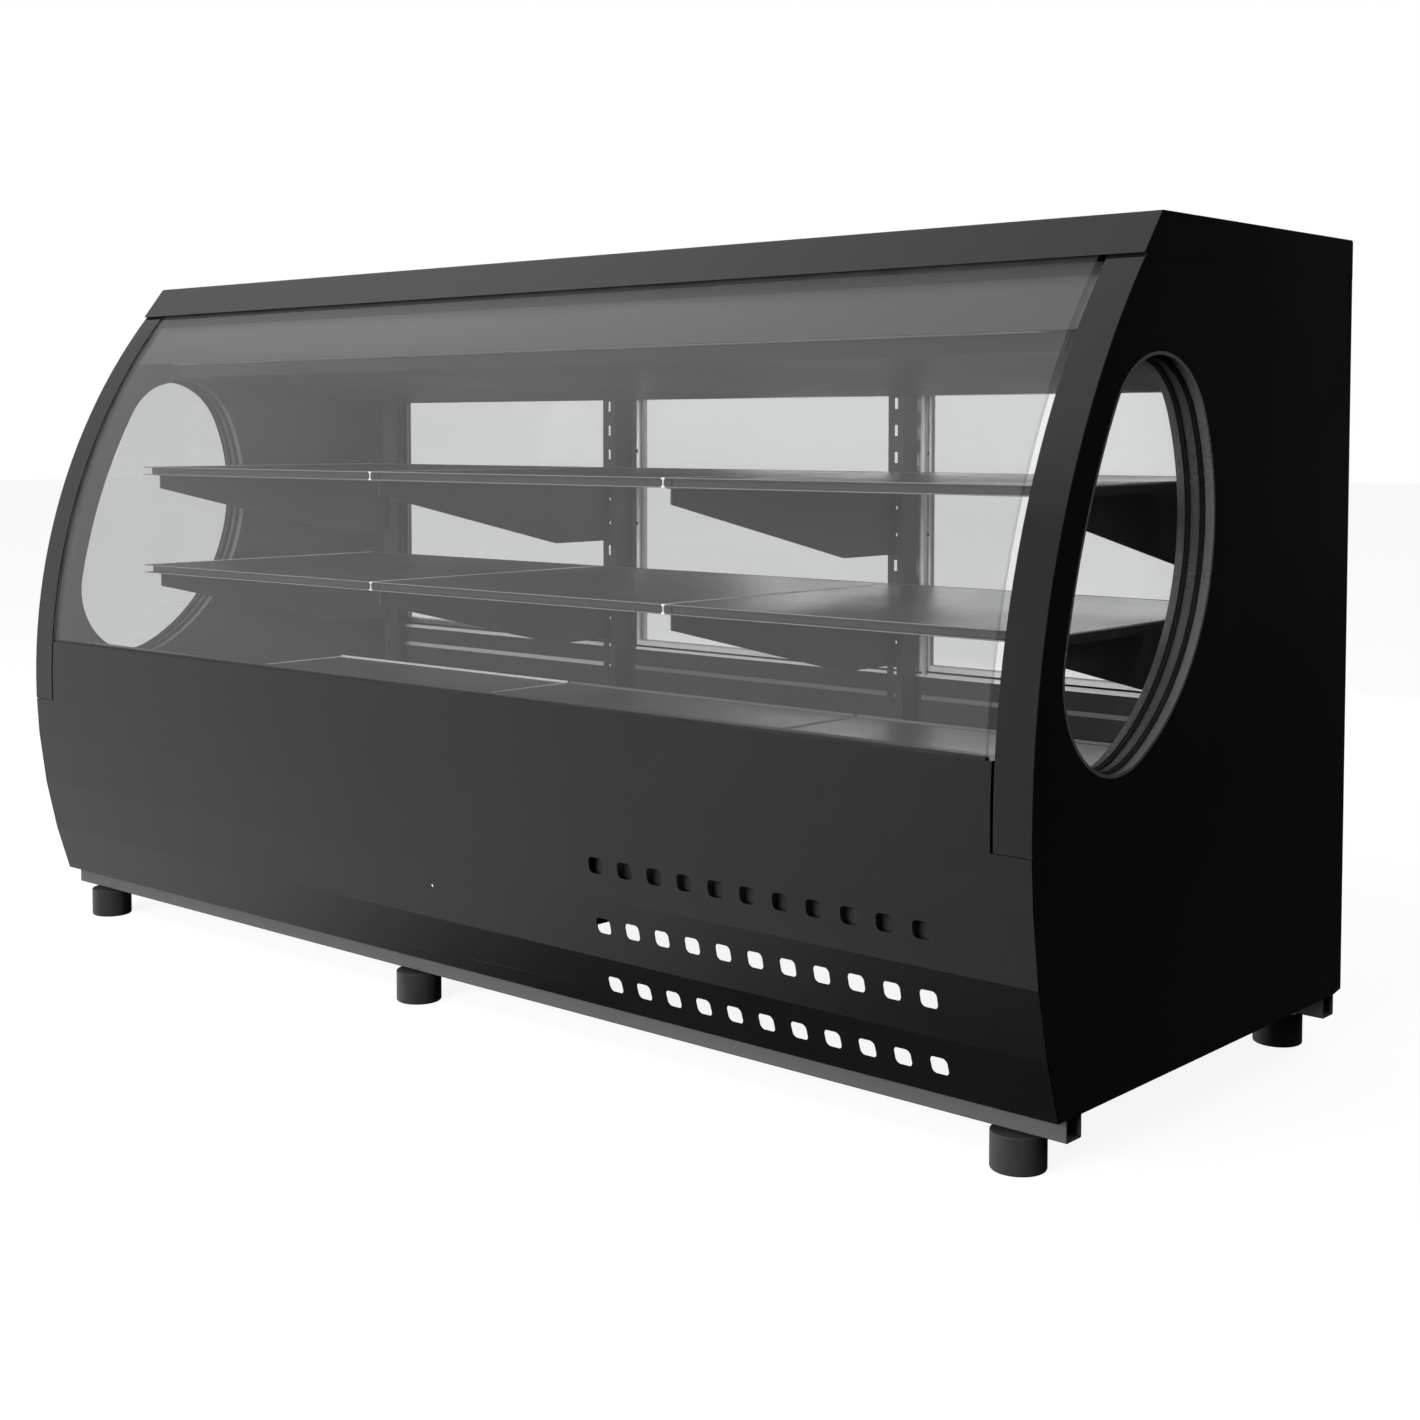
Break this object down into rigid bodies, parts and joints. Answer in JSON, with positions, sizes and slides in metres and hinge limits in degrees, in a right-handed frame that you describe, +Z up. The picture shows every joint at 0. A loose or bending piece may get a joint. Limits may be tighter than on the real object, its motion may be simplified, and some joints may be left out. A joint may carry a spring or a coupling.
{
  "type": "refrigerated bakery display case",
  "caption": "Long refrigerated bakery display case with a curved tinted front glass, egg-shaped end windows, tiered shelves and sliding rear doors.",
  "frame": {"origin": "on the floor, under the centre of the case", "axes": "+X along the case, +Y towards the staff side with the sliding doors, +Z up"},
  "size_m": [2, 0.782, 1.093],
  "materials": {
    "black_paint": "gloss",
    "dark_paint": "satin",
    "black_plastic": "satin",
    "rubber": "matte",
    "clear_plastic": "clear, gloss",
    "tinted_glass": "grey tinted, gloss",
    "clear_glass": "clear, gloss",
    "aluminium": "satin anodised",
    "milky_plastic": "milky",
    "foam": "cut foam",
    "galvanised": "galvanised",
    "compressor_paint": "semi-gloss",
    "fins": "mill finish",
    "copper": "drawn copper"
  },
  "bodies": {
    "case": {"front_rail": "black_paint", "rear_rail": "black_paint", "cross_members": "black_paint", "levelling_feet": "black_plastic", "right_end_skin": "black_paint", "left_end_skin": "black_paint", "end_foam_cores": "foam", "end_liners": "dark_paint", "porthole_sleeves": "black_paint", "porthole_panes": "clear_glass", "porthole_gaskets": "rubber", "top_cap": "black_paint", "rear_header": "black_paint", "canopy_liner": "dark_paint", "lamp_housing": "aluminium", "lamp_diffuser": "milky_plastic", "front_glass": "tinted_glass", "glass_channels": "rubber", "glass_edge_seals": "clear_plastic", "front_fascia": "black_paint", "tub_foam": "foam", "tub_liner": "dark_paint", "shelf_posts": "dark_paint", "shelf_brackets": "dark_paint", "lower_track": "aluminium", "upper_track": "aluminium", "rear_panel": "black_paint", "control_box": "galvanised", "cord_gland": "black_plastic", "unit_base": "galvanised", "compressor": "compressor_paint", "condenser": "fins", "fan_motor": "compressor_paint", "refrigerant_lines": "copper", "evaporator": "fins", "drain_tube": "black_plastic", "deck_tray_left": "dark_paint", "deck_tray_centre": "dark_paint", "deck_tray_right": "dark_paint", "upper_shelf_left": "dark_paint", "upper_shelf_centre": "dark_paint", "upper_shelf_right": "dark_paint", "lower_shelf_left": "dark_paint", "lower_shelf_centre": "dark_paint", "lower_shelf_right": "dark_paint"},
    "door_left": {"door_frame_left": "aluminium", "door_glass_left": "clear_glass", "door_pull_left": "black_plastic"},
    "door_centre": {"door_frame_centre": "aluminium", "door_glass_centre": "clear_glass", "door_pull_centre": "black_plastic"},
    "door_right": {"door_frame_right": "aluminium", "door_glass_right": "clear_glass", "door_pull_right": "black_plastic"},
    "condenser_fan": {"fan_blade": "black_plastic"},
    "evaporator_fan_wheel": {"evaporator_fan": "black_plastic"},
    "thermostat": {"thermostat_knob": "black_plastic"},
    "power_rocker": {"power_switch": "black_plastic"},
    "light_rocker": {"light_switch": "black_plastic"},
    "pan": {"condensate_pan": "black_plastic"}
  },
  "joints": [
    {"name": "door_left_slide", "type": "slide", "parent": "case", "child": "door_left", "axis": [1, 0, 0], "range_m": [0, 0.565]},
    {"name": "door_centre_slide", "type": "slide", "parent": "case", "child": "door_centre", "axis": [1, 0, 0], "range_m": [-0.615, 0.615]},
    {"name": "door_right_slide", "type": "slide", "parent": "case", "child": "door_right", "axis": [1, 0, 0], "range_m": [-0.565, 0]},
    {"name": "pan_slide", "type": "slide", "parent": "case", "child": "pan", "axis": [0, 1, 0], "range_m": [0, 0.3]},
    {"name": "condenser_fan_spin", "type": "hinge", "parent": "case", "child": "condenser_fan", "pos_m": [0.43, 0.129, 0.156], "axis": [0, 1, 0], "continuous": true},
    {"name": "evaporator_fan_spin", "type": "hinge", "parent": "case", "child": "evaporator_fan_wheel", "pos_m": [0, 0.061, 0.33], "axis": [0, 1, 0], "continuous": true},
    {"name": "thermostat_turn", "type": "hinge", "parent": "case", "child": "thermostat", "pos_m": [-0.11, 0.367, 0.1725], "axis": [0, 1, 0], "range_deg": [0, 270]},
    {"name": "power_rock", "type": "hinge", "parent": "case", "child": "power_rocker", "pos_m": [-0.25, 0.363, 0.1725], "axis": [1, 0, 0], "range_deg": [0, 13]},
    {"name": "light_rock", "type": "hinge", "parent": "case", "child": "light_rocker", "pos_m": [-0.19, 0.363, 0.1725], "axis": [1, 0, 0], "range_deg": [0, 13]}
  ]
}
